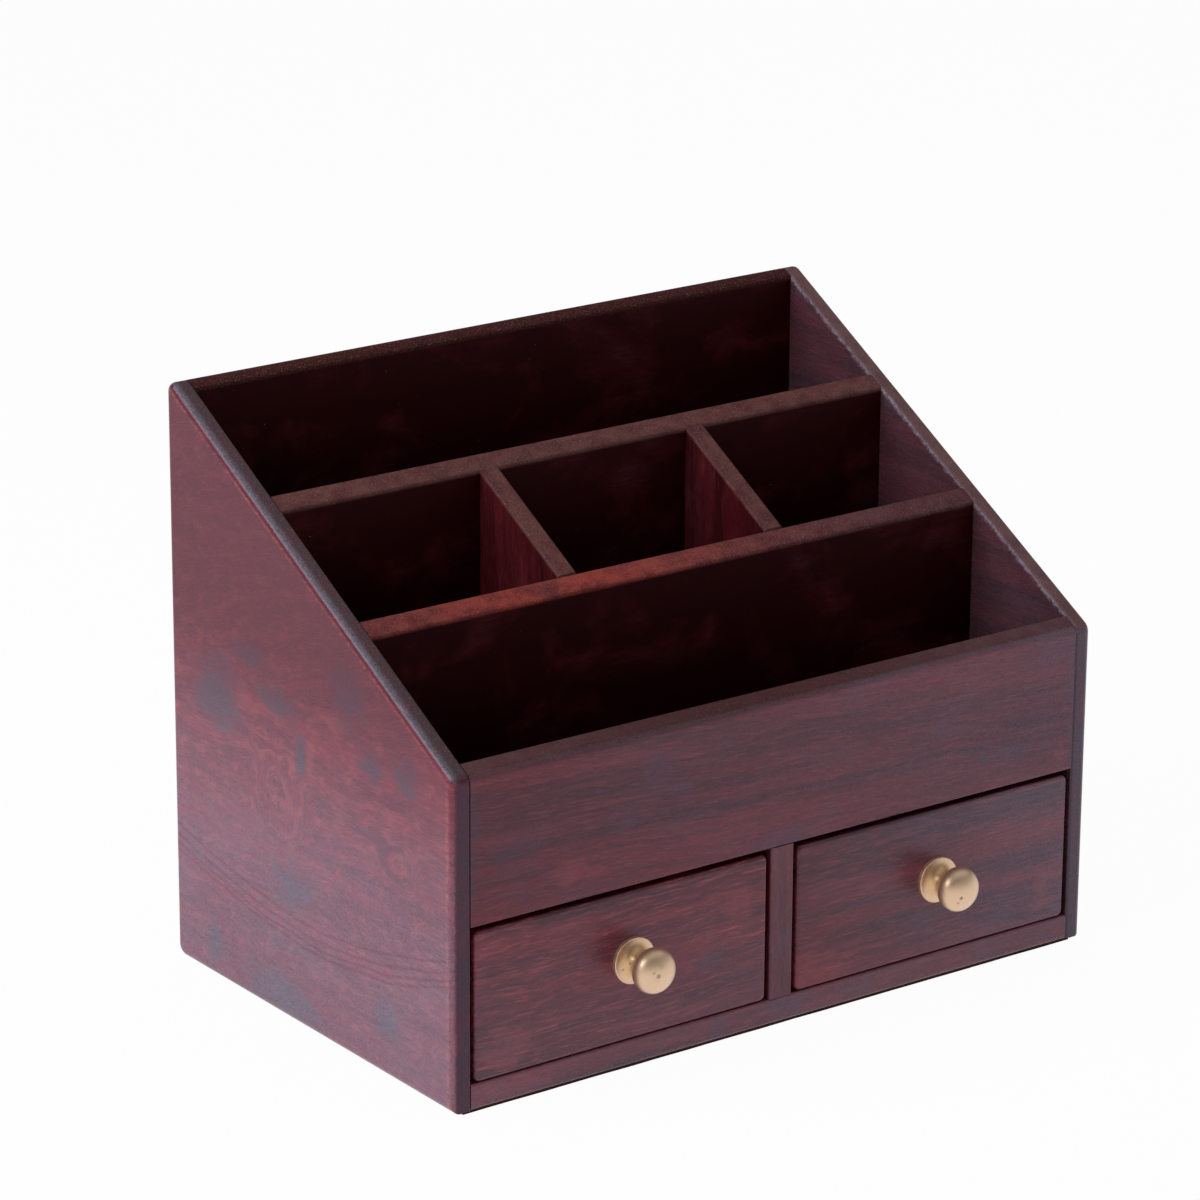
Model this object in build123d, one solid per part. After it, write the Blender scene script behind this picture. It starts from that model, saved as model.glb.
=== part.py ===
from build123d import *
from math import acos, atan2, degrees, sqrt
from types import SimpleNamespace
import os

# A wooden desktop organizer: a slope-topped case of open compartments over two sliding drawers.
# Millimetres. +Z is up, -Y is the front, +X is the right of someone who faces the front.
# The origin lies on the table, under the middle of the case.

# Case, outside: the two heights are those of the top edges before they are rounded
case_width = 250.0
case_depth = 158.0
back_edge_height = 196.4
front_edge_height = 108.6

# Case, boards
side_thickness = 6.5
back_thickness = 7.0
apron_thickness = 6.0
base_thickness = 8.4
deck_thickness = 6.5
mullion_thickness = 9.0
bay_height = 51.0

# Compartments: the front row takes the depth that the other two leave
partition_thickness = 6.6
divider_thickness = 7.0
rear_row_depth = 42.8
middle_row_depth = 42.4

# Felt under the case
felt_thickness = 1.0
felt_front_inset = 0.8
felt_inset = 4.0

# Rounded edges of the case
crest_radius = 3.0
nose_radius = 4.0
heel_radius = 4.0
arris_radius = 2.5
eased_radius = 0.8
rail_radius = 1.2

# Drawers: a front is as thick as its lip and the rebate that the walls lap into
drawer_side_gap = 1.5
drawer_top_gap = 1.7
drawer_running_gap = 0.3
drawer_lip_thickness = 3.5
drawer_rebate_depth = 5.5
drawer_wall_thickness = 5.0
drawer_wall_set_down = 3.0
drawer_bottom_thickness = 3.0
drawer_front_radius = 1.2
drawer_corner_radius = 2.0

# Brass knobs, measured out from the drawer front, and how far each stands off the middle of its front
left_knob_shift = 3.4
left_knob_rise = 1.9
right_knob_shift = 1.2
right_knob_rise = 0.8
knob_rose_diameter = 15.2
knob_rim_thickness = 1.4
knob_rim_step = 0.5
knob_neck_diameter = 6.4
knob_neck_length = 0.9
knob_head_diameter = 14.7
knob_head_thickness = 10.4
knob_head_edge_radius = 4.2

# Screws of the knobs
screw_diameter = 3.0
screw_bite = 6.0
screw_head_diameter = 6.0
screw_head_thickness = 2.0
screw_slot_width = 0.9
screw_slot_depth = 1.0
screw_hole_clearance = 0.25
screw_thread_clearance = 0.05

# Panel pins: those of the case are punched below the face and filled over
pin_diameter = 1.4
pin_fit = 0.05
case_pin_length = 14.0
case_pin_set = 1.0
drawer_wall_pin_length = 11.0
drawer_bottom_pin_length = 9.0
pin_row_shares = (0.15, 0.5, 0.85)
pin_pair_shares = (0.25, 0.75)

# How far a cutting shape runs past the face that it cuts
overrun = 5.0

# The most of a board's thickness that one rounded edge takes, and of the corner that an arris runs round
edge_limit_share = 0.45
corner_limit_share = 0.85
middle_share = 0.5

# Degrees in a quarter of a turn
quarter_turn = 90

# Places that follow from the sizes above
left_and_right = {"left": -1, "right": 1}
half_width = case_width / 2
inner_half_width = half_width - side_thickness
inner_x = (-inner_half_width, inner_half_width)
front_y = -case_depth / 2
back_y = case_depth / 2
back_face_y = back_y - back_thickness
apron_face_y = front_y + apron_thickness
rear_partition_y = (back_face_y - rear_row_depth - partition_thickness, back_face_y - rear_row_depth)
middle_row_y = (rear_partition_y[0] - middle_row_depth, rear_partition_y[0])
front_partition_y = (middle_row_y[0] - partition_thickness, middle_row_y[0])
floor_z = felt_thickness
bay_floor_z = floor_z + base_thickness
bay_roof_z = bay_floor_z + bay_height
deck_top_z = bay_roof_z + deck_thickness
slope_rise = (back_edge_height - front_edge_height) / case_depth
divider_count = len(left_and_right)
cubby_width = (2 * inner_half_width - divider_count * divider_thickness) / (divider_count + 1)
divider_offset = (cubby_width + divider_thickness) / 2
crest_rounding = min(crest_radius, back_thickness * edge_limit_share)
nose_rounding = min(nose_radius, apron_thickness)
heel_rounding = min(heel_radius, back_thickness)
drawer_front_thickness = drawer_lip_thickness + drawer_rebate_depth
knob_shifts = {"left": left_knob_shift, "right": right_knob_shift}
knob_rises = {"left": left_knob_rise, "right": right_knob_rise}


def slope_z(y):
    """Height of the sloping top above the table, at a place y from front to back."""
    return front_edge_height + (y - front_y) * slope_rise


def along(span, share):
    """The place at a share of the way along a span."""
    low, high = span
    return low + (high - low) * share


def on_side(sign, near, far):
    """Limits along X of what lies between two distances from the middle, on one side."""
    return tuple(sorted((sign * near, sign * far)))


def rounding(radius, thickness):
    """A rounding of an edge that its board has room for."""
    return min(radius, thickness * edge_limit_share)


def block(x_span, y_span, z_span):
    """A board between two limits along each axis."""
    spans = (x_span, y_span, z_span)
    corner = [low for low, high in spans]
    sizes = [high - low for low, high in spans]
    return Pos(*corner) * Box(*sizes, align=Align.MIN)


def rod(start, direction, diameter, length):
    """A round bar from the middle of its first end."""
    bar = Cylinder(diameter / 2, length, align=(Align.CENTER, Align.CENTER, Align.MIN))
    return Plane(origin=start, z_dir=direction) * bar


def case_envelope():
    """The case seen from the side, with its top edges and its heel rounded, and wider than the case."""
    corners = [
        (front_y, floor_z),
        (back_y, floor_z),
        (back_y, back_edge_height),
        (front_y, front_edge_height),
    ]
    outline = Plane.YZ * make_face(Polyline(*corners, close=True))
    body = extrude(outline, amount=half_width + overrun, both=True)
    body = fillet(body.edges().filter_by(Axis.X).sort_by(Axis.Z)[-1], crest_rounding)
    back_edges = body.faces().sort_by(Axis.Y)[-1].edges().filter_by(Axis.X)
    body = fillet(back_edges.sort_by(Axis.Z)[0], heel_rounding)
    front_edges = body.faces().sort_by(Axis.Y)[0].edges().filter_by(Axis.X)
    return fillet(front_edges.sort_by(Axis.Z)[-1], nose_rounding)


envelope = case_envelope()


def upright(x_span, y_span, bottom_z):
    """A board that stands up to the sloping top."""
    return block(x_span, y_span, (bottom_z, back_edge_height)) & envelope


def side_panel(sign):
    """One side of the case, rounded all round its outer face and eased along its inner top edge."""
    panel = upright(on_side(sign, inner_half_width, half_width), (front_y, back_y), floor_z)
    outer_face = panel.faces().sort_by(Axis.X, reverse=sign > 0)[0]
    corner_limit = corner_limit_share * min(crest_rounding, nose_rounding, heel_rounding)
    panel = fillet(outer_face.edges(), min(rounding(arris_radius, side_thickness), corner_limit))
    inner_face = panel.faces().sort_by(Axis.X, reverse=sign < 0)[0]
    slope_edge = inner_face.edges().filter_by(GeomType.LINE).sort_by(Axis.Z)[-1]
    return fillet(slope_edge, rounding(eased_radius, side_thickness))


def back_panel():
    """The tall board between the sides, with its inner top edge eased."""
    panel = upright(inner_x, (back_face_y, back_y), floor_z)
    inner_top = panel.faces().sort_by(Axis.Y)[0].edges().sort_by(Axis.Z)[-1]
    return fillet(inner_top, rounding(eased_radius, back_thickness))


def front_apron():
    """The board above the drawers, with its inner top edge and its lower front edge eased."""
    apron = upright(inner_x, (front_y, apron_face_y), bay_roof_z)
    inner_top = apron.faces().sort_by(Axis.Y)[-1].edges().sort_by(Axis.Z)[-1]
    apron = fillet(inner_top, rounding(eased_radius, apron_thickness))
    lower_front = apron.faces().sort_by(Axis.Y)[0].edges().sort_by(Axis.Z)[0]
    return fillet(lower_front, rounding(eased_radius, apron_thickness))


def base_board():
    """The bottom board: its front edge is the rail under the drawers."""
    board = block(inner_x, (front_y, back_face_y), (floor_z, bay_floor_z))
    lower_front = board.faces().sort_by(Axis.Y)[0].edges().sort_by(Axis.Z)[0]
    board = fillet(lower_front, rounding(rail_radius, base_thickness))
    upper_front = board.faces().sort_by(Axis.Y)[0].edges().sort_by(Axis.Z)[-1]
    return fillet(upper_front, rounding(eased_radius, base_thickness))


def drawer_deck():
    """The floor of the compartments and the roof of the drawer bays, behind the apron."""
    return block(inner_x, (apron_face_y, back_face_y), (bay_roof_z, deck_top_z))


def drawer_mullion():
    """The upright between the two drawers, from the front to the back panel."""
    half_mullion = mullion_thickness / 2
    board = block((-half_mullion, half_mullion), (front_y, back_face_y), (bay_floor_z, bay_roof_z))
    front_edges = board.faces().sort_by(Axis.Y)[0].edges().filter_by(Axis.Z)
    return fillet(front_edges, rounding(eased_radius, mullion_thickness))


def partition(y_span):
    """A board from side to side between two rows of compartments."""
    board = upright(inner_x, y_span, deck_top_z)
    top_edges = board.edges().filter_by(Axis.X).sort_by(Axis.Z)[-2:]
    return fillet(top_edges, rounding(eased_radius, partition_thickness))


def cubby_divider(sign):
    """A short board between the two partitions, beside the middle cubby."""
    near = divider_offset - divider_thickness / 2
    board = upright(on_side(sign, near, near + divider_thickness), middle_row_y, deck_top_z)
    up_the_slope = Axis((0, 0, 0), (0, 1, slope_rise))
    return fillet(board.edges().filter_by(up_the_slope), rounding(eased_radius, divider_thickness))


def base_felt():
    """A thin sheet of felt under the case, set in from its edges."""
    reach = half_width - felt_inset
    return block((-reach, reach), (front_y + felt_front_inset, back_y - felt_inset), (0, floor_z))


def pins(spots, length):
    """Panel pins as separate solids, from the middles of their heads and their directions."""
    return [rod(head, direction, pin_diameter, length) for head, direction in spots]


def pin_holes(spots, length):
    """The holes that a group of pins sits in."""
    holes = []
    for head, direction in spots:
        start = Vector(*head) - Vector(*direction) * pin_fit
        holes.append(rod(start, direction, pin_diameter + 2 * pin_fit, length + 2 * pin_fit))
    return holes


def side_pin_spots(sign):
    """Pins through one side panel into the ends of the boards between the sides."""
    head_x = sign * (half_width - case_pin_set)
    base_z = along((floor_z, bay_floor_z), middle_share)
    deck_z = along((bay_roof_z, deck_top_z), middle_share)
    back_middle_y = along((back_face_y, back_y), middle_share)
    apron_middle_y = along((front_y, apron_face_y), middle_share)
    places = []
    for share in pin_row_shares:
        places.append((along((front_y, back_face_y), share), base_z))
        places.append((along((apron_face_y, back_face_y), share), deck_z))
        places.append((back_middle_y, along((floor_z, slope_z(back_face_y)), share)))
    for share in pin_pair_shares:
        places.append((apron_middle_y, along((bay_roof_z, slope_z(front_y)), share)))
        for y_span in (rear_partition_y, front_partition_y):
            places.append((along(y_span, middle_share), along((deck_top_z, slope_z(y_span[0])), share)))
    return [((head_x, y, z), (-sign, 0, 0)) for y, z in places]


def mullion_pin_spots():
    """Pins up through the base and down through the deck into the mullion."""
    spots = []
    for share in pin_row_shares:
        y = along((apron_face_y, back_face_y), share)
        spots.append(((0, y, floor_z + case_pin_set), (0, 0, 1)))
        spots.append(((0, y, deck_top_z - case_pin_set), (0, 0, -1)))
    return spots


def divider_pin_spots():
    """Pins through the two partitions into the ends of the cubby dividers."""
    spots = []
    for sign in left_and_right.values():
        x = sign * divider_offset
        for share in pin_pair_shares:
            rear_z = along((deck_top_z, slope_z(middle_row_y[1])), share)
            front_z = along((deck_top_z, slope_z(middle_row_y[0])), share)
            spots.append(((x, rear_partition_y[1] - case_pin_set, rear_z), (0, -1, 0)))
            spots.append(((x, front_partition_y[0] + case_pin_set, front_z), (0, 1, 0)))
    return spots


def case_nodes():
    """Every piece of the case that stays still."""
    side_spots = {side: side_pin_spots(sign) for side, sign in left_and_right.items()}
    side_holes = {side: pin_holes(spots, case_pin_length) for side, spots in side_spots.items()}
    end_holes = side_holes["left"] + side_holes["right"]
    mullion_spots = mullion_pin_spots()
    mullion_holes = pin_holes(mullion_spots, case_pin_length)
    divider_spots = divider_pin_spots()
    divider_holes = pin_holes(divider_spots, case_pin_length)
    nodes = {
        "back_panel": back_panel() - end_holes,
        "front_apron": front_apron() - end_holes,
        "base_board": base_board() - end_holes - mullion_holes,
        "drawer_deck": drawer_deck() - end_holes - mullion_holes,
        "drawer_mullion": drawer_mullion() - mullion_holes,
        "rear_partition": partition(rear_partition_y) - end_holes - divider_holes,
        "front_partition": partition(front_partition_y) - end_holes - divider_holes,
        "base_felt": base_felt(),
        "mullion_pins": Compound(pins(mullion_spots, case_pin_length)),
        "divider_pins": Compound(pins(divider_spots, case_pin_length)),
    }
    for side, sign in left_and_right.items():
        nodes[side + "_side_panel"] = side_panel(sign) - side_holes[side]
        nodes[side + "_side_pins"] = Compound(pins(side_spots[side], case_pin_length))
        nodes[side + "_cubby_divider"] = cubby_divider(sign) - divider_holes
    return nodes


def knob():
    """A turned knob about the Y axis: a rose with a stepped rim, a neck and a flattened ball."""
    rose = knob_rose_diameter / 2
    step = rose - knob_rim_step
    neck = knob_neck_diameter / 2
    head = knob_head_diameter / 2
    half_head = knob_head_thickness / 2
    edge = knob_head_edge_radius
    # The ball is an oval of three arcs: a round edge between two flat domes, tangent to it
    edge_x = head - edge
    dome_centre = (edge_x**2 - (half_head - edge) ** 2) / (2 * (half_head - edge))
    dome_radius = dome_centre + half_head
    edge_angle = degrees(atan2(dome_centre, edge_x))
    neck_angle = degrees(acos(neck / dome_radius))
    rose_top_y = -knob_rim_thickness - (step - neck)
    head_back_y = rose_top_y - knob_neck_length
    head_y = head_back_y + dome_centre - sqrt(dome_radius**2 - neck**2)
    profile = [
        Line((0, 0), (rose, 0)),
        Line((rose, 0), (rose, -knob_rim_thickness)),
        Line((rose, -knob_rim_thickness), (step, -knob_rim_thickness)),
        CenterArc((step, rose_top_y), step - neck, quarter_turn, quarter_turn),
        Line((neck, rose_top_y), (neck, head_back_y)),
        CenterArc((0, head_y - dome_centre), dome_radius, neck_angle, edge_angle - neck_angle),
        CenterArc((edge_x, head_y), edge, edge_angle, -2 * edge_angle),
        CenterArc((0, head_y + dome_centre), dome_radius, -edge_angle, edge_angle - quarter_turn),
        Line((0, head_y - half_head), (0, 0)),
    ]
    hole_diameter = screw_diameter + 2 * screw_thread_clearance
    hole = rod((0, 0, 0), (0, -1, 0), hole_diameter, screw_bite + screw_thread_clearance)
    return revolve(make_face(profile), axis=Axis.Y) - hole


def knob_screw():
    """A slotted screw along the Y axis, from inside the drawer front into the knob."""
    shank = rod((0, -screw_bite, 0), (0, 1, 0), screw_diameter, screw_bite + drawer_front_thickness)
    head = rod((0, drawer_front_thickness, 0), (0, 1, 0), screw_head_diameter, screw_head_thickness)
    rim = head.faces().sort_by(Axis.Y)[-1].edges()
    head = fillet(rim, rounding(screw_head_thickness, screw_head_thickness))
    head_top_y = drawer_front_thickness + screw_head_thickness
    slot_half_width = screw_slot_width / 2
    slot = block(
        (-screw_head_diameter, screw_head_diameter),
        (head_top_y - screw_slot_depth, head_top_y + overrun),
        (-slot_half_width, slot_half_width),
    )
    return shank + head - slot


def drawer_limits(sign):
    """The limits of one shut drawer and of its boards along each axis."""
    near = mullion_thickness / 2 + drawer_side_gap
    x_span = on_side(sign, near, inner_half_width - drawer_side_gap)
    z_span = (bay_floor_z + drawer_running_gap, bay_roof_z - drawer_top_gap)
    rear_y = back_face_y - drawer_running_gap
    rebate_y = (front_y + drawer_lip_thickness, front_y + drawer_front_thickness)
    return SimpleNamespace(
        x=x_span,
        z=z_span,
        rebate_y=rebate_y,
        wall_y=(rebate_y[0], rear_y),
        wall_z=(z_span[0] + drawer_bottom_thickness, z_span[1] - drawer_wall_set_down),
        left_wall_x=(x_span[0], x_span[0] + drawer_wall_thickness),
        right_wall_x=(x_span[1] - drawer_wall_thickness, x_span[1]),
        back_wall_y=(rear_y - drawer_wall_thickness, rear_y),
    )


def drawer_wall_pin_spots(limits):
    """Pins through the side walls of a drawer into its front and its back wall."""
    spots = []
    for head_x, direction in zip(limits.x, ((1, 0, 0), (-1, 0, 0))):
        for joint_y in (limits.rebate_y, limits.back_wall_y):
            for share in pin_pair_shares:
                head = (head_x, along(joint_y, middle_share), along(limits.wall_z, share))
                spots.append((head, direction))
    return spots


def drawer_bottom_pin_spots(limits):
    """Pins up through the bottom of a drawer into its front and its walls."""
    places = []
    for joint_y in (limits.rebate_y, limits.back_wall_y):
        places += [(along(limits.x, share), along(joint_y, middle_share)) for share in pin_pair_shares]
    for joint_x in (limits.left_wall_x, limits.right_wall_x):
        places += [(along(joint_x, middle_share), along(limits.wall_y, share)) for share in pin_row_shares]
    return [((x, y, limits.z[0]), (0, 0, 1)) for x, y in places]


def drawer_front(limits, lapped_boards, knob_place):
    """The front of a drawer: rounded at its corners and face, rebated behind, and bored for the screw."""
    front = block(limits.x, (front_y, limits.rebate_y[1]), limits.z)
    corner_rounding = min(drawer_corner_radius, drawer_wall_set_down)
    front = fillet(front.edges().filter_by(Axis.Y), corner_rounding)
    face_edges = front.faces().sort_by(Axis.Y)[0].edges()
    face_rounding = rounding(drawer_front_radius, drawer_lip_thickness)
    front = fillet(face_edges, min(face_rounding, corner_limit_share * corner_rounding))
    hole_diameter = screw_diameter + 2 * screw_hole_clearance
    hole = rod((0, -overrun, 0), (0, 1, 0), hole_diameter, drawer_front_thickness + 2 * overrun)
    return front - lapped_boards - knob_place * hole


def drawer_nodes(side, sign):
    """Every piece of one drawer, shut."""
    limits = drawer_limits(sign)
    left_wall = block(limits.left_wall_x, limits.wall_y, limits.wall_z)
    right_wall = block(limits.right_wall_x, limits.wall_y, limits.wall_z)
    back_wall = block((limits.left_wall_x[1], limits.right_wall_x[0]), limits.back_wall_y, limits.wall_z)
    bottom = block(limits.x, limits.wall_y, (limits.z[0], limits.wall_z[0]))
    knob_x = along(limits.x, middle_share) + knob_shifts[side]
    knob_place = Pos(knob_x, front_y, along(limits.z, middle_share) + knob_rises[side])
    front = drawer_front(limits, [left_wall, right_wall, bottom], knob_place)
    wall_spots = drawer_wall_pin_spots(limits)
    bottom_spots = drawer_bottom_pin_spots(limits)
    holes = pin_holes(wall_spots, drawer_wall_pin_length)
    holes += pin_holes(bottom_spots, drawer_bottom_pin_length)
    drawer_pins = pins(wall_spots, drawer_wall_pin_length)
    drawer_pins += pins(bottom_spots, drawer_bottom_pin_length)
    return {
        side + "_drawer_front": front - holes,
        side + "_drawer_left_wall": left_wall - holes,
        side + "_drawer_right_wall": right_wall - holes,
        side + "_drawer_back_wall": back_wall - holes,
        side + "_drawer_bottom": bottom - holes,
        side + "_drawer_pins": Compound(drawer_pins),
        side + "_knob": knob_place * knob(),
        side + "_knob_screw": knob_place * knob_screw(),
    }


nodes = case_nodes()
for side, sign in left_and_right.items():
    nodes.update(drawer_nodes(side, sign))

os.makedirs("parts", exist_ok=True)
for name, shape in nodes.items():
    export_step(shape, f"parts/{name}.step")
    size = shape.bounding_box().size
    print(f"{name}: {len(shape.solids())} solids, {size.X:.1f} x {size.Y:.1f} x {size.Z:.1f} mm")
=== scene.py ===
# %% [markdown]
# A wooden desk organizer with two drawers
#
# The boards, the drawers and their fasteners come from the construction model, which is loaded as a
# fixed frame: metres, +Z up, the front towards -Y. This lesson gives every board its stained and
# waxed finish, turns the brass knobs, drives the panel pins and lays the felt, and then lights it all.

# %% Load the frame
import math
from types import SimpleNamespace

import bmesh
import bpy
from mathutils import Matrix, Vector
from mathutils import noise as random_field


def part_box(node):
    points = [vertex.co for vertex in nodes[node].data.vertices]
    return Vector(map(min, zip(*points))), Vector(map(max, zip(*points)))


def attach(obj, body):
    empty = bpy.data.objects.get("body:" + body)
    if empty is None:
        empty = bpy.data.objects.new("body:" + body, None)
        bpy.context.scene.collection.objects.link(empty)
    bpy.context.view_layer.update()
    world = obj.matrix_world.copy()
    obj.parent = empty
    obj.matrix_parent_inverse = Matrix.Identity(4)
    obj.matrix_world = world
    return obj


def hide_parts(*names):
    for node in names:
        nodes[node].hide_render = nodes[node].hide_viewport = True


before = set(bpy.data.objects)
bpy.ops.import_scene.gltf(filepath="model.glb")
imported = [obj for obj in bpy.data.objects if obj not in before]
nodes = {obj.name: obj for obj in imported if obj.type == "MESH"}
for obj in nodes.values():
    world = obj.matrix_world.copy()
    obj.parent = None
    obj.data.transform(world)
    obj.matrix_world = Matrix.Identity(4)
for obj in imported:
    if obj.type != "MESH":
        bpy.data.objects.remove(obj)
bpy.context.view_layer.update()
scene = bpy.context.scene
mm = 0.001
same_place = 0.002 * mm


def new_object(name, data):
    """An object of the scene that shows this data."""
    added = bpy.data.objects.new(name, data)
    scene.collection.objects.link(added)
    return added


# %% [markdown]
# The camera
#
# The picture was taken from the front left, a little above the object and from far away, so that its
# upright edges look almost parallel. A long lens at the measured place gives the same outline. The
# camera's three axes are worked out from the direction of view, and then rolled by a third of a degree.

# %% Camera
view_azimuth = math.radians(-36.228)
view_elevation = math.radians(18.597)
view_roll = math.radians(0.352)
camera_place = Vector((-0.9428, -1.26845, 0.65123))
image_pixels = 1200
focal_pixels = 5216.7
sensor_width_mm = 36.0

towards_camera = Vector((
    math.sin(view_azimuth) * math.cos(view_elevation),
    -math.cos(view_azimuth) * math.cos(view_elevation),
    math.sin(view_elevation),
))
level_right = Vector((0, 0, 1)).cross(towards_camera).normalized()
level_up = towards_camera.cross(level_right)
rolled_right = level_right * math.cos(view_roll) + level_up * math.sin(view_roll)
rolled_up = level_up * math.cos(view_roll) - level_right * math.sin(view_roll)

camera_data = bpy.data.cameras.new("camera")
camera_data.sensor_width = sensor_width_mm
camera_data.lens = sensor_width_mm * focal_pixels / image_pixels
camera = new_object("camera", camera_data)
camera_turn = Matrix((rolled_right, rolled_up, towards_camera)).transposed().to_4x4()
camera.matrix_world = Matrix.Translation(camera_place) @ camera_turn
scene.camera = camera
print(f"lens {camera_data.lens:.1f} mm, {camera_place.length:.2f} m from the object")

# %% [markdown]
# Writing node trees as sums
#
# Materials and geometry rules are node trees. Wiring them by hand hides the idea behind a maze of links,
# so one small class stands for a socket: arithmetic on it adds Math nodes, and its node method adds any
# other kind, with the node's settings first and then the values or links of its sockets. A node that is
# already there, such as a material's shader, is fed in the same way.

# %% A socket that does arithmetic
class Wire:
    """One socket of a node tree. A Wire without a socket only starts new nodes."""

    def __init__(self, tree, socket=None):
        self.tree = tree
        self.socket = socket

    def node(self, kind, settings=None, inputs=None, output=0):
        """Adds a node and gives one of its outputs."""
        added = self.tree.nodes.new(kind)
        for name, value in (settings or {}).items():
            setattr(added, name, value)
        feed(added, inputs or {})
        return Wire(self.tree, added.outputs[output])

    def math(self, operation, first, second=0.0):
        return self.node("ShaderNodeMath", {"operation": operation}, {0: first, 1: second})

    def __add__(self, other):
        return self.math("ADD", self, other)

    def __sub__(self, other):
        return self.math("SUBTRACT", self, other)

    def __rsub__(self, other):
        return self.math("SUBTRACT", other, self)

    def __mul__(self, other):
        return self.math("MULTIPLY", self, other)

    def __truediv__(self, other):
        return self.math("DIVIDE", self, other)

    def __pow__(self, other):
        return self.math("POWER", self, other)

    def __neg__(self):
        return self.math("MULTIPLY", self, -1.0)

    __radd__ = __add__
    __rmul__ = __mul__

    def larger(self, other):
        return self.math("MAXIMUM", self, other)

    def bell(self):
        """1 where the value is 0, falling away on both sides of it."""
        return self.math("EXPONENT", -(self * self))

    def rise(self, low, high):
        """A smooth step from 0 at low to 1 at high; low may be the larger one."""
        limits = {"Value": self, "From Min": min(low, high), "From Max": max(low, high)}
        ends = {"To Min": 0.0, "To Max": 1.0} if low < high else {"To Min": 1.0, "To Max": 0.0}
        return self.node("ShaderNodeMapRange", {"interpolation_type": "SMOOTHSTEP"}, limits | ends)


def feed(node, inputs):
    """Gives sockets of a node their links or plain values. A list links several wires to one socket."""
    for name, value in inputs.items():
        for each in value if isinstance(value, list) else [value]:
            if isinstance(each, Wire):
                node.id_data.links.new(each.socket, node.inputs[name])
            else:
                node.inputs[name].default_value = each


print("a Wire has", [name for name in vars(Wire) if not name.startswith("_")])

# %% [markdown]
# Starting a material
#
# Wood, brass, steel and felt all start from the Principled shader, which covers most real surfaces with a
# few sockets. A picture could be put on it, but here every pattern is worked out by nodes, so it has no
# seams and needs no unwrapping.

# %% A new material
def new_material(name):
    """A node material with its shader, and a Wire that adds nodes to it."""
    material = bpy.data.materials.new(name)
    material.use_nodes = True
    shader = material.node_tree.nodes["Principled BSDF"]
    return material, shader, Wire(material.node_tree)


print("materials start from the Principled shader")

# %% [markdown]
# Patterns from object coordinates
#
# Every material here reads the place of the shaded point in the object's own space, in millimetres, so a
# pattern has its true size and stays put when a drawer slides. Noise that is squeezed in one direction
# and stretched in another gives streaks. Most of it lies between 0.25 and 0.75, and the two numbers of a
# rise say which part of it shows.

# %% Places and noise
def place_in_mm(start):
    """The three object coordinates of the shaded point, in millimetres."""
    point = start.node("ShaderNodeTexCoord", output="Object")
    scaled = start.node("ShaderNodeVectorMath", {"operation": "SCALE"}, {0: point, "Scale": 1 / mm})
    return [start.node("ShaderNodeSeparateXYZ", inputs={0: scaled}, output=i) for i in range(3)]


def noise(start, coordinates, detail=2.0, roughness=0.5, distortion=0.0):
    """Soft random values about a half, at coordinates that are already scaled."""
    x, y, z = coordinates
    point = start.node("ShaderNodeCombineXYZ", inputs={0: x, 1: y, 2: z})
    settings = {"Vector": point, "Scale": 1.0, "Detail": detail, "Roughness": roughness}
    return start.node("ShaderNodeTexNoise", inputs=settings | {"Distortion": distortion})


def even_noise(start, place, size, *character):
    """Noise of one size in all directions, in millimetres."""
    return noise(start, [coordinate / size for coordinate in place], *character)


print(f"patterns are read in units of {mm} m")

# %% [markdown]
# Masks and relief
#
# A finish is built up like a real one, coat over coat. A mask between 0 and 1 says where the next coat
# covers the last, and the largest of several masks joins them. Fine relief such as open pores would need
# millions of faces, so it only tilts the light, with a Bump node.

# %% Masks and relief
def mix(mask, under, over):
    """One colour laid over another where the mask is 1."""
    colours = {0: mask, 6: under, 7: over}
    return mask.node("ShaderNodeMix", {"data_type": "RGBA", "clamp_factor": True}, colours, output=2)


def max_of(masks):
    """The largest of several masks."""
    largest = masks[0]
    for mask in masks[1:]:
        largest = largest.larger(mask)
    return largest


def bumps(height, strength, depth):
    """A surface direction that follows a height pattern, for the Normal of a shader."""
    return height.node("ShaderNodeBump", inputs={"Strength": strength, "Distance": depth, "Height": height})


print("mask and relief helpers ready")

# %% [markdown]
# Where the sloping top lies
#
# Dust gathers on the sloping top edges, and wear follows the arrises. Both masks need the distance of a
# point from the slope, so its rise and height are measured on two of the boards that reach it.

# %% The slope, measured on the frame
rear_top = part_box("rear_partition")[1]
front_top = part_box("front_partition")[1]
slope_rise = (rear_top.z - front_top.z) / (rear_top.y - front_top.y)
divider_points = [vertex.co for vertex in nodes["left_cubby_divider"].data.vertices]
slope_height_mm = max(point.z - slope_rise * point.y for point in divider_points) / mm
slope_tilt = math.atan(slope_rise)
face_axes = {"left": 0, "right": 0, "front": 1, "back": 1, "bottom": 2, "top": 2}


def face_gap(at, face):
    """How deep a point of a board's grain field lies behind one of its faces, in millimetres."""
    low, high = at.box
    axis = face_axes[face]
    if face == "top" and at.recipe["sloped"]:
        return (slope_height_mm + slope_rise * at.place[1] - at.place[2]) * math.cos(slope_tilt)
    if face in ("left", "front", "bottom"):
        return at.place[axis] - low[axis] / mm
    return high[axis] / mm - at.place[axis]


print(f"the top slopes at {math.degrees(slope_tilt):.1f} degrees")

# %% [markdown]
# Stained and waxed wood
#
# The boards are a red hardwood, stained dark and waxed. Up close there are short red streaks along the
# grain and broad bands across it, and round a knot the grain swirls. A picture of wood would need
# unwrapping and would repeat, so the figure is worked out instead: noise stretched along the grain and
# read at a level that a swirl lifts, as growth rings are lifted round a knot. A recipe holds all that one
# board can differ in: strengths from 0 to 1, and places and sizes in millimetres.

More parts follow.
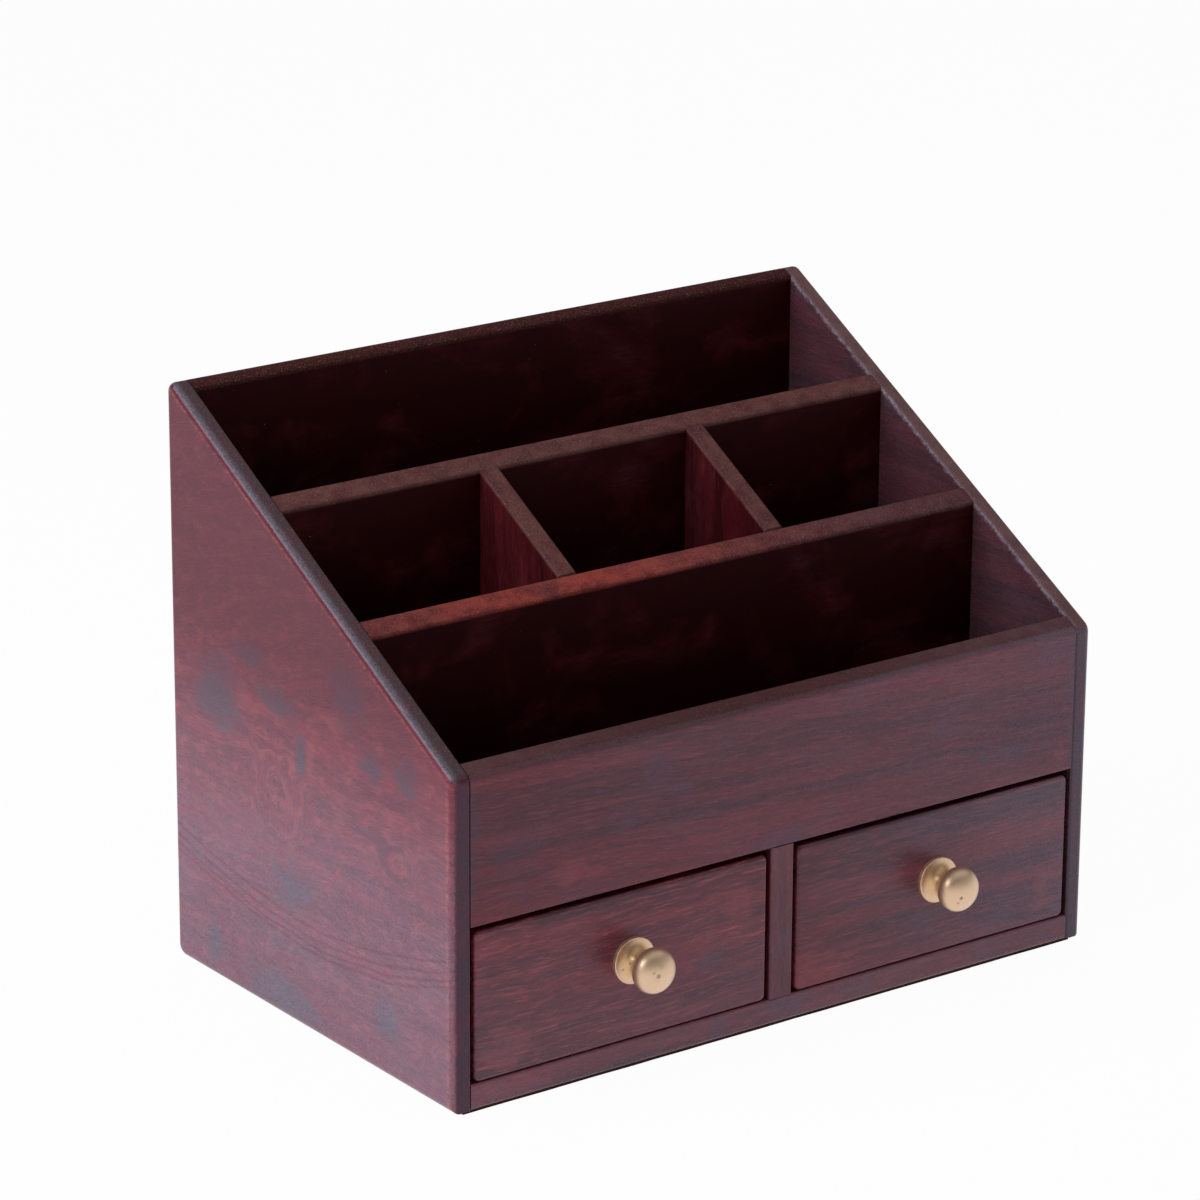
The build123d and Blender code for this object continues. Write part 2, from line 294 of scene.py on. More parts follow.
# %% Wood tones and recipe
stained_tones = {
    "dark": (0.065, 0.011, 0.017, 1),
    "heart": (0.245, 0.027, 0.036, 1),
    "red": (0.460, 0.085, 0.095, 1),
}
plain_recipe = {
    "tones": stained_tones, "grain": "x", "tilt": 0.0, "warp": 8.0,
    "banded": 1.0, "streaky": 0.5, "cloudy": 0.0,
    "joint": None, "eyes": (), "growth_lines": None, "shade_heights": None,
    "slate": 0.2, "slate_patches": (), "patch_strength": 0.5, "slate_faces": (), "red_patches": (),
    "dim": 0.92, "inside_shade_faces": (), "inside_shade_behind": None, "wear_and_highlight_lines": (),
    "sloped": False, "top_tone": None, "top_blush": None, "top_painted_highlight": None,
    "top_dust": 0.5, "top_dulled": 0.15,
    "bloom": 0.09, "bloom_faces": (), "bloom_heights": None, "bloom_drift": 0.0,
    "roughness": 0.27, "specular": 0.4,
}
print(f"a finish has {len(plain_recipe)} settings")

# %% [markdown]
# Growth lines
#
# Low on the left side a few thin dark growth lines sag like a hung chain. They could be drawn as curves on
# the board, but a formula for the lowest line and a list of offsets keeps them inside the finish, where
# wax and dust can lie over them.

# %% Growth lines
line_sway_mm = 7.0
line_half_width_mm = 0.5


def growth_mask(along, across, warp, low_along, low_across, bend, offsets):
    """Thin dark growth lines that sag like a hung chain, each at its own height."""
    sag = low_across + bend * (along - low_along) * (along - low_along) + (warp - 0.5) * line_sway_mm
    return max_of([((across - sag - offset) / line_half_width_mm).bell() for offset in offsets])


print(f"growth lines are about {2 * line_half_width_mm} mm wide")

# %% [markdown]
# The grain field
#
# Streaks, bands and pores of one board are read at the same bent level, so they bend together round an
# eye, while blotches and dust lie straight. Each noise has its sizes along, across and through the grain
# in millimetres, then its detail, roughness and distortion. The field also carries the board's box and
# recipe, because the masks that follow need to know where its faces are.

# %% The grain field
axis_orders = {"x": (0, 2, 1), "y": (1, 2, 0), "z": (2, 1, 0), "flat": (0, 1, 2)}
seed_step_mm = 170.0
plank_shift_mm = 55.0
slow_bend = ((60.0, 30.0, 30.0), 4.0)
quick_bend = ((10.0, 8.0, 8.0), 3.0)
bent_noises = {
    "bands": ((150.0, 7.5, 9.0), 3.0, 0.55),
    "strokes": ((26.0, 1.5, 1.6), 2.0, 0.5),
    "streaks": ((8.0, 0.62, 0.8), 2.0, 0.6),
    "pores": ((2.6, 0.30, 0.4), 1.0, 0.5),
}
straight_noises = {
    "take_up": ((34.0, 24.0, 24.0), 4.0, 0.6, 0.4),
    "ragged": ((7.0, 5.0, 5.0), 5.0, 0.65),
    "flecks": ((1.1, 1.1, 1.1), 2.0, 0.6),
    "grit": ((0.45, 0.45, 0.45), 1.0, 0.5),
}


def grain_field(start, node, seed, recipe):
    """The coordinates and noises that the finish of one board is made of."""
    place = place_in_mm(start)
    along, across, through = [place[axis] for axis in axis_orders[recipe["grain"]]]
    offset = seed * seed_step_mm

    def spread(upwards, sizes, *character):
        """Noise of these sizes along, across and through the grain."""
        length, height, depth = sizes
        return noise(start, (along / length + offset, upwards / height, through / depth), *character)

    warp = spread(across, *slow_bend)
    wobble = spread(across, *quick_bend)
    level = across + along * math.tan(math.radians(recipe["tilt"])) + (warp - 0.5) * recipe["warp"]
    eyes = []
    for eye_along, eye_across, length, height in recipe["eyes"]:
        sideways = (along - eye_along) / length
        upwards = (across - eye_across + (warp - 0.5) * 1.3 * recipe["warp"]) / height
        ring = (sideways * sideways + upwards * upwards) ** 0.5 + (wobble - 0.5) * 0.8
        inside = ring.rise(1.25, 0.55)
        level = level + inside * (eye_across + ring * height - level)
        eyes.append(inside)
    if recipe["joint"]:
        joint_height, upper_tilt = recipe["joint"]
        upper = place[2].rise(joint_height - 0.1, joint_height + 0.1)
        level = level + upper * (along * math.tan(math.radians(upper_tilt)) + plank_shift_mm)
    noises = {name: spread(level, *character) for name, character in bent_noises.items()}
    noises |= {name: spread(across, *character) for name, character in straight_noises.items()}
    lines = growth_mask(along, across, warp, *recipe["growth_lines"]) if recipe["growth_lines"] else None
    return SimpleNamespace(
        place=place, along=along, across=across, box=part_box(node), recipe=recipe,
        eyes=eyes, lines=lines, **noises,
    )


print(f"{len(bent_noises)} bent and {len(straight_noises)} straight noises")

# %% [markdown]
# The figure
#
# The bare wood comes first: dark and lighter bands, then red strokes and streaks along the grain, then
# dark pores. Each is one noise of the field turned into a mask, so the same lines of code give every board
# a figure of its own.

# %% The figure
def figure_colour(at):
    """Bands across the grain, with short red strokes and streaks along it."""
    recipe = at.recipe
    tones = recipe["tones"]
    banding = 0.55 + (at.bands.rise(0.30, 0.70) - 0.55) * recipe["banded"]
    colour = mix(banding, tones["dark"], tones["heart"])
    redness = at.strokes.rise(0.48, 0.75) * 0.45 + at.streaks.rise(0.50, 0.72) * 0.75
    colour = mix(redness * recipe["streaky"], colour, tones["red"])
    if recipe["cloudy"]:
        colour = mix(at.ragged.rise(0.50, 0.66) * recipe["cloudy"], colour, tones["red"])
        colour = mix(at.ragged.rise(0.46, 0.32) * recipe["cloudy"], colour, tones["dark"])
    if at.eyes:
        eye = max_of(at.eyes)
        colour = mix(eye * at.strokes.rise(0.50, 0.62) * 0.35, colour, tones["red"])
        colour = mix(eye * at.strokes.rise(0.47, 0.38) * 0.20, colour, tones["dark"])
    mottle = at.pores.rise(0.56, 0.70) * 0.6 + at.flecks.rise(0.50, 0.70) * 0.3
    colour = mix(mottle, colour, tones["dark"])
    if at.lines:
        colour = mix(at.lines * at.ragged.rise(0.40, 0.62) * 0.5, colour, tones["dark"])
    return colour


print("figure tones:", list(stained_tones))

# %% [markdown]
# Where stain gathered
#
# Stain took unevenly and left smoky blotches, and some faces took more of it than others. Blotches could be
# painted on a picture; here each is a soft spot with a place and a size, and the noises of the grain break
# up its outline. A face is found by the distance behind it.

# %% Patches and faces
def patches_mask(at, patches):
    """Smoky patches (along, across, length, height), ragged where the wood takes stain unevenly."""
    spots = []
    for patch_along, patch_across, length, height in patches:
        sideways = (at.along - patch_along) / length
        upwards = (at.across - patch_across) / height
        spots.append(sideways.bell() * upwards.bell())
    spot = max_of(spots)
    uneven = (at.take_up - 0.5) * 1.8 + (at.ragged - 0.5) * 3.2 + (at.strokes - 0.5) * 0.6
    return (spot * 1.2 + uneven * spot.rise(0.02, 0.35)).rise(0.20, 1.10)


def on_faces(at, faces, deep=1.6, shallow=0.5):
    """1 on the named faces of the board, fading out behind them."""
    return max_of([face_gap(at, face).rise(deep, shallow) for face in faces])


print("faces:", list(face_axes))

# %% [markdown]
# Stain
#
# Over the figure come redder places and slate-blue blotches, the most striking of them placed one by one.
# Some faces took so much stain that they look inky, and the faces inside the case get painted shade, a dark
# tone for the little light that reaches them. Each of these is one mask that lays a tone over the last.

# %% The stain
wood_slate = (0.090, 0.048, 0.080, 1)
wood_inky = (0.074, 0.042, 0.068, 1)
# Painted shade: a near-black tone for the faces inside the case, where little light reaches.
painted_inside_shade = (0.023, 0.0006, 0.0010, 1)


def stain_colour(at, colour):
    """The figure with its redder places, slate blotches, darker upper part and painted shade on faces
    inside.
    """
    recipe = at.recipe
    if recipe["red_patches"]:
        colour = mix(patches_mask(at, recipe["red_patches"]) * 0.32, colour, recipe["tones"]["red"])
    blotch = at.take_up.rise(0.48, 0.72) * recipe["slate"]
    if recipe["slate_patches"]:
        patches = patches_mask(at, recipe["slate_patches"])
        blotch = blotch.larger(patches * recipe["patch_strength"])
    colour = mix(blotch, colour, wood_slate)
    if recipe["slate_faces"]:
        inky = on_faces(at, recipe["slate_faces"], 0.9, 0.2) * (at.take_up + 0.8 * at.strokes - 0.1)
        colour = mix(inky, colour, wood_inky)
    if recipe["shade_heights"]:
        colour = mix(at.place[2].rise(*recipe["shade_heights"]) * 0.72, colour, recipe["tones"]["dark"])
    # Painted shade on the faces inside the case, fading in behind the front where asked.
    if recipe["inside_shade_faces"]:
        dim = on_faces(at, recipe["inside_shade_faces"]) * recipe["dim"] * (1.10 - 0.35 * at.take_up.rise(0.45, 0.75))
        if recipe["inside_shade_behind"]:
            behind = recipe["inside_shade_behind"]
            dim = dim * face_gap(at, "front").rise(behind - 1.0, behind)
        colour = mix(dim, colour, painted_inside_shade)
    return colour


print("stain tones:", wood_slate[:3], wood_inky[:3], painted_inside_shade[:3])

# %% [markdown]
# Worn arrises and a painted highlight
#
# Bare orange wood shows in thin broken lines beside the arrises that hands rub. The distance from a face
# gives the line and two noises break it, which looks more like long use than an even stripe would. A pale
# line of the same kind is a painted highlight along the inner top arris of the right side.

# %% Worn lines and a painted highlight
wood_worn = (0.480, 0.110, 0.060, 1)


def wear_and_highlight_colour(at, colour):
    """Broken lines of wear or painted highlight: (on this face, beside this face, how far from it, half
    width, strength, tone).
    """
    for face, beside, distance, half_width, strength, tone in at.recipe["wear_and_highlight_lines"]:
        line = ((face_gap(at, beside) - distance + (at.take_up - 0.5) * 1.6) / half_width).bell()
        broken = at.flecks.rise(0.36, 0.62) * (at.take_up + at.strokes).rise(0.80, 1.05)
        colour = mix(line * broken * on_faces(at, [face], 1.2, 0.3) * strength, colour, tone)
    return colour


print("bare wood:", wood_worn[:3])

# %% [markdown]
# Dirty top edges with painted shade and a painted highlight
#
# The top edges are dirty and carry pale dust, and one of them has a painted highlight along its outer arris.
# The direction of the surface could pick them out, but the distance below them also darkens the rounded
# arris, partly as grime and partly as painted shade.

# %% Top edges
# A painted highlight: the pale blue-grey of a lamp seen along a rounded arris.
wood_painted_highlight = (0.170, 0.160, 0.205, 1)
dust_pale = (0.520, 0.440, 0.400, 1)


def top_colour(at, colour):
    """The dirty top edge with painted shade on its arris, a painted highlight and pale dust, and a mask of
    where it is.
    """
    recipe = at.recipe
    top = face_gap(at, "top").rise(1.5, 0.4)
    tone = recipe["top_tone"]
    if recipe["top_blush"]:
        blush_tone, blush_middle, blush_reach = recipe["top_blush"]
        blush = ((at.place[0] - blush_middle) / blush_reach).bell() * at.take_up.rise(0.15, 0.45)
        tone = mix(blush, tone, blush_tone)
    # Grime on the top face, and painted shade where the mask reaches down the rounded arris.
    dirt_and_shade = mix(at.ragged.rise(0.32, 0.75) * 0.7, tone, recipe["tones"]["dark"])
    colour = mix(top * 0.9, colour, dirt_and_shade)
    # A painted highlight along the arris beside one face.
    if recipe["top_painted_highlight"]:
        from_arris = face_gap(at, recipe["top_painted_highlight"])
        painted_highlight = from_arris.rise(3.4, 0.6) * (0.35 + 0.9 * at.strokes) * at.grit.rise(0.25, 0.50)
        colour = mix(top * painted_highlight, colour, wood_painted_highlight)
    dust = top * (at.grit.rise(0.52, 0.72) * 0.25 + at.grit.rise(0.70, 0.80) * 0.4)
    return mix(dust * recipe["top_dust"], colour, dust_pale), top


print("sheen and dust:", wood_painted_highlight[:3], dust_pale[:3])

# %% [markdown]
# Bloomed wax and painted reflection
#
# On the outside faces the old wax has bloomed to a thin, grainy, violet haze. A second shader could lie over
# the first, but the haze has no depth of its own, so a pale tone mixed in by fine noise is enough. The
# same tone is also a painted reflection of the white floor, made stronger low down and towards one end.

# %% Bloom and painted reflection
# Pale violet haze: partly bloomed wax, partly painted reflection; also the tone of a painted highlight.
wax_bloom = (0.400, 0.370, 0.500, 1)


def bloom_colour(at, colour):
    """The violet haze, partly old wax and partly painted reflection, uneven and thinner over the growth
    lines.
    """
    recipe = at.recipe
    uneven = 0.6 * at.take_up + 0.3 * at.strokes + at.flecks + 1.9 * at.grit - 0.9
    haze = on_faces(at, recipe["bloom_faces"]) * uneven
    # Painted reflection: the haze grows towards one end, and towards the bottom where heights are given.
    haze = haze * (recipe["bloom"] + at.place[0] * (recipe["bloom_drift"] / 100.0))
    if recipe["bloom_heights"]:
        none_above, full_below = recipe["bloom_heights"]
        haze = haze * at.place[2].rise(none_above, full_below)
    if at.lines:
        haze = haze * (1.0 - 0.35 * at.lines)
    return mix(haze, colour, wax_bloom)


print("bloom:", wax_bloom[:3])

# %% [markdown]
# The finish as a whole
#
# One function lays these over each other: figure, stain, painted shade inside the case and on arrises,
# grime, wear and a painted highlight, and bloomed wax with painted reflection. The wax is a satin gloss: it
# is a little rougher on the dirty top edges, and the open pores show as fine dimples. Its reflections lean
# to violet, which is one colour for the whole board.

# %% Stained wood
wax_tint = (0.86, 0.84, 1.0, 1)


def stained_wood(node, seed, **changes):
    """The finish of one board, with any painted shade, highlight and reflection, by the plain recipe with
    its changes.
    """
    recipe = plain_recipe | changes
    material, shader, start = new_material(f"{node}_wood")
    at = grain_field(start, node, seed, recipe)
    colour = stain_colour(at, figure_colour(at))
    colour = mix(at.flecks.rise(0.77, 0.83) * 0.5, colour, dust_pale)
    roughness = recipe["roughness"] + (at.take_up - 0.5) * 0.10 + (at.streaks - 0.5) * 0.08
    if recipe["top_tone"]:
        colour, top = top_colour(at, colour)
        roughness = roughness + top * recipe["top_dulled"]
    colour = wear_and_highlight_colour(at, colour)
    if recipe["bloom_faces"]:
        colour = bloom_colour(at, colour)
    relief = at.streaks * 0.35 - at.pores.rise(0.60, 0.75) * 0.65 + at.take_up * 1.2
    relief = relief + at.flecks * 0.6 + at.grit * 0.5
    feed(shader, {
        "Base Color": colour, "Roughness": roughness, "Normal": bumps(relief, 0.45, 0.1 * mm),
        "Specular IOR Level": recipe["specular"], "Specular Tint": wax_tint,
    })
    return material


def finish_node(node, material):
    """Puts one material on a node of the frame."""
    nodes[node].material_slots[0].material = material


print("the wax reflects", wax_tint[:3])

# %% [markdown]
# The left side
#
# This board shows most. It is glued up from two planks, with the joint at the height of the front. Noise
# alone would put its marks anywhere, so eyes, blotches and red streaks are placed one by one, each by its
# place along and across the grain and its length and height.

# %% The left side
top_slate = (0.046, 0.032, 0.036, 1)
left_side_tones = {
    "dark": (0.100, 0.014, 0.030, 1),
    "heart": (0.300, 0.031, 0.058, 1),
    "red": (0.480, 0.090, 0.100, 1),
}
left_finish = {
    "tones": left_side_tones, "grain": "y", "sloped": True, "slate_faces": ("front",),
    "eyes": ((17.0, 76.0, 15.0, 17.0), (-50.0, 73.0, 11.0, 9.0)),
    "growth_lines": (5.0, 29.0, 0.0019, (0.0, 2.1, 4.9, 8.6)),
    "warp": 13.0, "streaky": 0.45, "banded": 0.5, "cloudy": 0.45, "specular": 0.28,
    "patch_strength": 0.85,
    "slate_patches": (
        (10.0, 46.5, 14.0, 9.0), (-42.0, 19.0, 8.0, 7.0), (55.0, 14.0, 6.0, 9.0), (19.0, 8.0, 30.0, 8.0),
        (53.0, 99.0, 15.0, 12.0), (-22.0, 119.0, 10.0, 11.0), (-54.0, 102.0, 9.0, 8.0),
        (3.5, 91.0, 3.0, 7.0), (-36.0, 100.0, 8.0, 5.0), (18.0, 106.0, 12.0, 5.0), (32.0, 117.0, 12.0, 4.0),
    ),
    "red_patches": ((-2.0, 94.0, 2.5, 9.0), (30.0, 100.0, 16.0, 5.0), (-16.0, 108.0, 6.0, 5.0)),
    "joint": (108.6, 18.0),
    "wear_and_highlight_lines": (
        ("left", "top", 2.6, 0.5, 0.6, wood_worn), ("left", "front", 3.0, 1.1, 0.6, wood_worn),
        ("front", "left", 0.6, 0.8, 0.5, wood_worn),
    ),
    # A haze, partly bloomed wax and partly painted reflection, growing towards the bottom.
    "bloom": 0.285, "bloom_faces": ("left",), "bloom_heights": (128.0, 40.0),
    "shade_heights": (80.0, 135.0),
    # The top is dirty with painted shade on its arris, and has a painted highlight beside the left face.
    "top_tone": top_slate, "top_dulled": 0.05, "top_painted_highlight": "left",
    # Painted shade on the inner face, from 6 mm behind the front.
    "inside_shade_faces": ("right",), "inside_shade_behind": 6.0,
}
print(f"left side: {len(left_finish['eyes'])} eyes, {len(left_finish['slate_patches'])} blotches")

# %% [markdown]
# The boards of the case
#
# Each board was cut from another plank, so each gets its own seed. Grain runs from front to back in the
# sides, from end to end in the long boards, and upright in the dividers and the mullion. One table holds
# what differs from the plain recipe, and a loop finishes all the boards.

# %% Case boards
top_brown = (0.150, 0.062, 0.056, 1)
top_dark = (0.045, 0.012, 0.008, 1)
top_red = (0.380, 0.062, 0.046, 1)
top_violet = (0.120, 0.054, 0.060, 1)
inside_wax = {"roughness": 0.55, "specular": 0.07}
divider_finish = {"grain": "z", "sloped": True, "top_tone": top_brown, "inside_shade_faces": ("left", "right")}
# Faces inside the case get painted shade, and the haze on outside faces is partly painted reflection.
case_boards = {
    "left_side_panel": left_finish,
    "right_side_panel": {
        "grain": "y", "sloped": True, "top_tone": top_brown, "slate_faces": ("front",),
        # Painted shade on the inner face, and a pale line along the inner top arris that is a painted
        # highlight.
        "inside_shade_faces": ("left",), "dim": 0.55, "wear_and_highlight_lines": (("left", "top", 0.9, 0.6, 0.6, wax_bloom),),
        "bloom_faces": ("left", "right", "front", "back"),
    },
    "back_panel": {
        "sloped": True, "top_tone": top_dark, "banded": 0.6, "bloom_faces": ("back",),
        "inside_shade_faces": ("front",),
    } | inside_wax,
    "front_apron": {
        "sloped": True, "top_tone": top_violet, "top_blush": (top_dark, -10.0, 80.0),
        "top_dust": 0.3, "top_dulled": 0.4, "tilt": 3.0, "streaky": 0.42, "banded": 0.8, "specular": 0.3,
        "bloom": 0.115, "bloom_faces": ("front",), "bloom_drift": 0.05, "slate": 0.4, "inside_shade_faces": ("back",),
        "slate_patches": (
            (93.0, 72.0, 15.0, 4.0), (-40.0, 88.0, 6.0, 3.0), (0.0, 62.0, 12.0, 7.0),
            (-119.0, 84.0, 3.5, 30.0), (119.0, 84.0, 3.5, 30.0),
        ),
        "red_patches": ((114.0, 68.0, 3.0, 4.0), (-80.0, 70.0, 10.0, 4.0)),
    },
    "base_board": {
        "slate": 0.5, "bloom": 0.17, "bloom_faces": ("front",), "red_patches": ((-102.0, 5.0, 14.0, 4.0),),
        "wear_and_highlight_lines": (("front", "bottom", 1.4, 0.5, 0.4, wood_worn),),
        "slate_patches": ((0.0, 8.0, 12.0, 6.0), (-25.0, 5.0, 6.0, 4.0)),
    },
    "drawer_deck": {"grain": "flat", "inside_shade_faces": ("top",)} | inside_wax,
    "drawer_mullion": {"grain": "z", "slate": 0.7, "streaky": 0.3, "bloom_faces": ("front",)},
    "rear_partition": {"sloped": True, "top_tone": top_brown, "inside_shade_faces": ("front", "back")} | inside_wax,
    "front_partition": {
        "sloped": True, "top_tone": top_violet, "top_blush": (top_red, -50.0, 75.0),
        "inside_shade_faces": ("front", "back"),
    } | inside_wax,
    "left_cubby_divider": {"dim": 0.6} | divider_finish | inside_wax,
    "right_cubby_divider": {"dim": 0.7} | divider_finish | inside_wax,
}
for seed, (node, changes) in enumerate(case_boards.items(), 1):
    finish_node(node, stained_wood(node, seed, **changes))
print(f"{len(case_boards)} case boards finished")

# %% [markdown]
# The boards of the drawers
#
# The fronts are stained and waxed like the case. The left one is streakier, and each has its own dark
# blotches. Inside, the walls and bottoms got only a thin coat of stain and no wax.

# %% Drawer boards
thin_stain_tones = {
    "dark": (0.110, 0.040, 0.024, 1),
    "heart": (0.210, 0.085, 0.046, 1),
    "red": (0.300, 0.120, 0.062, 1),
}
front_finishes = {
    "left": {
        # A haze, partly bloomed wax and partly painted reflection, growing towards the bottom.
        "streaky": 1.0, "warp": 10.0, "bloom": 0.12, "bloom_heights": (95.0, 8.0),
        "slate_patches": ((-27.0, 28.0, 7.0, 5.0),),
        "red_patches": ((-104.0, 18.0, 10.0, 8.0), (-17.0, 45.0, 7.0, 8.0)),
    },
    "right": {
        # A haze, partly bloomed wax and partly painted reflection, growing towards the right.
        "streaky": 0.60, "bloom": 0.03, "bloom_drift": 0.17,
        "slate_patches": ((56.0, 19.0, 6.0, 6.0), (90.0, 17.0, 7.0, 7.0)),
        "red_patches": ((15.0, 15.0, 12.0, 8.0), (108.0, 22.0, 5.0, 9.0)),
    },
}
inner_grains = {"left_wall": "y", "right_wall": "y", "back_wall": "x", "bottom": "flat"}
inner_finish = {"tones": thin_stain_tones, "slate": 0.1, "roughness": 0.55, "specular": 0.3}
for seed, (side, changes) in enumerate(front_finishes.items(), 20):
    node = f"{side}_drawer_front"
    finish_node(node, stained_wood(node, seed, bloom_faces=("front",), **changes))
    for board, grain in inner_grains.items():
        node = f"{side}_drawer_{board}"
        finish_node(node, stained_wood(node, seed, grain=grain, **inner_finish))
print(f"{len(front_finishes) * (1 + len(inner_grains))} drawer boards finished")

# %% [markdown]
# Rules for turned pieces
#
# Knobs and pins are round pieces that repeat. Each could be modelled once and copied, but then its sizes
# would be lost in the mesh, so each kind is one Geometry Nodes tree whose sizes are named inputs.

# %% Making a rule
def new_rule(name, sizes, others):
    """A geometry tree with named inputs, its start, a Wire for each input, and its output node."""
    tree = bpy.data.node_groups.new(name, "GeometryNodeTree")
    kinds = {"Geometry": "NodeSocketGeometry"} | dict.fromkeys(sizes, "NodeSocketFloat") | others
    for socket, kind in kinds.items():
        tree.interface.new_socket(socket, in_out="INPUT", socket_type=kind)
    tree.interface.new_socket("Geometry", in_out="OUTPUT", socket_type="NodeSocketGeometry")
    start = Wire(tree)
    group_input = tree.nodes.new("NodeGroupInput")
    wires = {socket.name: Wire(tree, socket) for socket in group_input.outputs}
    group_output = tree.nodes.new("NodeGroupOutput")
    return tree, start, wires, group_output


def finish_rule(start, geometry, material, group_output):
    """The last two nodes of every tree here."""
    real = start.node("GeometryNodeRealizeInstances", inputs={"Geometry": geometry})
    painted = start.node("GeometryNodeSetMaterial", inputs={"Geometry": real, "Material": material})
    feed(group_output, {0: painted})


print("rules end in Realize Instances and Set Material")

# %% [markdown]
# Running a rule
#
# A modifier runs a tree, with its inputs set by their identifiers. It could stay on the piece, but a plain
# mesh is easier to check and to hand on. So the result is kept, points that coincide are merged, and open
# edges are counted.

# %% Running a rule
sharp_angle = math.radians(35)


def run_rule(name, tree, values, base=None):
    """Runs a tree once with its inputs set, and keeps the result as a plain closed mesh."""
    piece = new_object(name, base or bpy.data.meshes.new(name))
    modifier = piece.modifiers.new("rule", "NODES")
    modifier.node_group = tree
    for socket in tree.interface.items_tree:
        if socket.in_out == "INPUT" and socket.name in values:
            modifier[socket.identifier] = values[socket.name]
    evaluated = piece.evaluated_get(bpy.context.evaluated_depsgraph_get())
    mesh = bpy.data.meshes.new_from_object(evaluated)
    piece.modifiers.clear()
    shape = bmesh.new()
    shape.from_mesh(mesh)
    bmesh.ops.remove_doubles(shape, verts=shape.verts, dist=same_place)
    bmesh.ops.recalc_face_normals(shape, faces=shape.faces)
    open_edges = sum(not edge.is_manifold for edge in shape.edges)
    shape.to_mesh(mesh)
    shape.free()
    mesh.shade_smooth()
    mesh.set_sharp_from_angle(angle=sharp_angle)
    mesh.name = name
    piece.data = mesh
    print(f"{name}: {len(mesh.polygons)} faces, {open_edges} open edges")
    return piece


print(f"edges of more than {math.degrees(sharp_angle):.0f} degrees stay sharp")

# %% [markdown]
# Turning by rule
#
# A turner follows a template: a line of straight and round strokes that is spun about an axis. Geometry
# Nodes do the same with Curve to Mesh, whose profile lies out from a circle. The template's first number
# is the distance from the axis, and its second the distance along it.

# %% Turning helpers
def flat_point(start, across, along):
    return start.node("ShaderNodeCombineXYZ", inputs={0: across, 1: along})


def stroke(start, first, last):
    """A straight stroke of a template, between two (across, along) points."""
    ends = {"Start": flat_point(start, *first), "End": flat_point(start, *last)}
    return start.node("GeometryNodeCurvePrimitiveLine", inputs=ends)


def outline(start, points):
    """Straight strokes from each point of a list to the next."""
    return [stroke(start, first, last) for first, last in zip(points, points[1:])]


def arc(start, centre, radius, first_angle, sweep, steps):
    """A round stroke of a template, about an (across, along) centre."""
    bend = {"Resolution": steps, "Radius": radius, "Start Angle": first_angle, "Sweep Angle": sweep}
    curve = start.node("GeometryNodeCurveArc", {"mode": "RADIUS"}, bend)
    shift = {"Geometry": curve, "Translation": flat_point(start, *centre)}
    return start.node("GeometryNodeTransform", inputs=shift)


def turn(start, strokes, core, facets):
    """Spins a template about its axis, and stands the turned piece up along +Z."""
    template = start.node("GeometryNodeJoinGeometry", inputs={"Geometry": strokes})
    from_core = start.node("ShaderNodeCombineXYZ", inputs={0: -core})
    template = start.node("GeometryNodeTransform", inputs={"Geometry": template, "Translation": from_core})
    circle = start.node("GeometryNodeCurvePrimitiveCircle", inputs={"Resolution": facets, "Radius": core})
    spun = start.node("GeometryNodeCurveToMesh", inputs={"Curve": circle, "Profile Curve": template})
    stood = start.node("GeometryNodeTransform", inputs={"Geometry": spun, "Rotation": (math.pi, 0, 0)})
    return start.node("GeometryNodeMergeByDistance", inputs={"Geometry": stood, "Distance": same_place})


print("turning helpers ready")

# %% [markdown]
# Brass knobs: the finish
#
# The knobs are turned brass with a dull polish under old clear lacquer, gone slightly pale. Under a lens
# there are fine turning lines round the axis, brown tarnish in the hollows, and a few spots and pits. The
# lines follow the distance from the knob's own axis, so each knob has its own material with its axis
# worked out from the frame.

# %% Satin brass
brass_pale = (0.790, 0.545, 0.360, 1)
brass_gold = (0.720, 0.420, 0.160, 1)
brass_tarnish = (0.300, 0.180, 0.085, 1)


def satin_brass(name, axis_x, axis_z, front_y, spots):
    """Brass turned about one axis. Spots are (x, y, z, size, strength) in millimetres."""
    material, shader, start = new_material(name)
    x, y, z = place_in_mm(start)
    from_axis = ((x - axis_x) * (x - axis_x) + (z - axis_z) * (z - axis_z)) ** 0.5
    out = front_y - y
    turning = noise(start, (from_axis / 0.10, out / 0.35, 0.0), 2.0, 0.6)
    cloud = even_noise(start, (x, y, z), 2.6, 3.0, 0.6)
    freckles = even_noise(start, (x, y, z), 0.45, 1.0, 0.5)
    hollow = out.rise(1.2, 2.2) * out.rise(7.8, 5.0)
    colour = mix(hollow * 0.7, brass_pale, brass_gold)
    colour = mix(cloud.rise(0.52, 0.75) * 0.30, colour, brass_gold)
    colour = mix(freckles.rise(0.68, 0.78) * 0.35, colour, brass_tarnish)
    for spot_x, spot_y, spot_z, size, strength in spots:
        spot = ((x - spot_x) / size).bell() * ((y - spot_y) / size).bell() * ((z - spot_z) / size).bell()
        colour = mix((spot + (freckles - 0.5) * 0.4).rise(0.3, 0.7) * strength, colour, brass_tarnish)
    roughness = 0.46 + (cloud - 0.5) * 0.14 + (turning - 0.5) * 0.10
    feed(shader, {
        "Base Color": colour, "Roughness": roughness, "Normal": bumps(turning + cloud, 0.25, 0.03 * mm),
        "Metallic": 0.85, "Coat Weight": 1.0, "Coat Roughness": 0.30,
    })
    return material


print("brass from", brass_pale[:3], "to", brass_tarnish[:3])

# %% [markdown]
# Brass knobs: the shape
#
# A knob is a round rose with a stepped rim, a cove that sweeps in to the neck, and a flattened ball made
# of three arcs. The hole at its back takes the screw. The arcs have to meet at every size, so their centres
# and angles are worked out inside the tree.

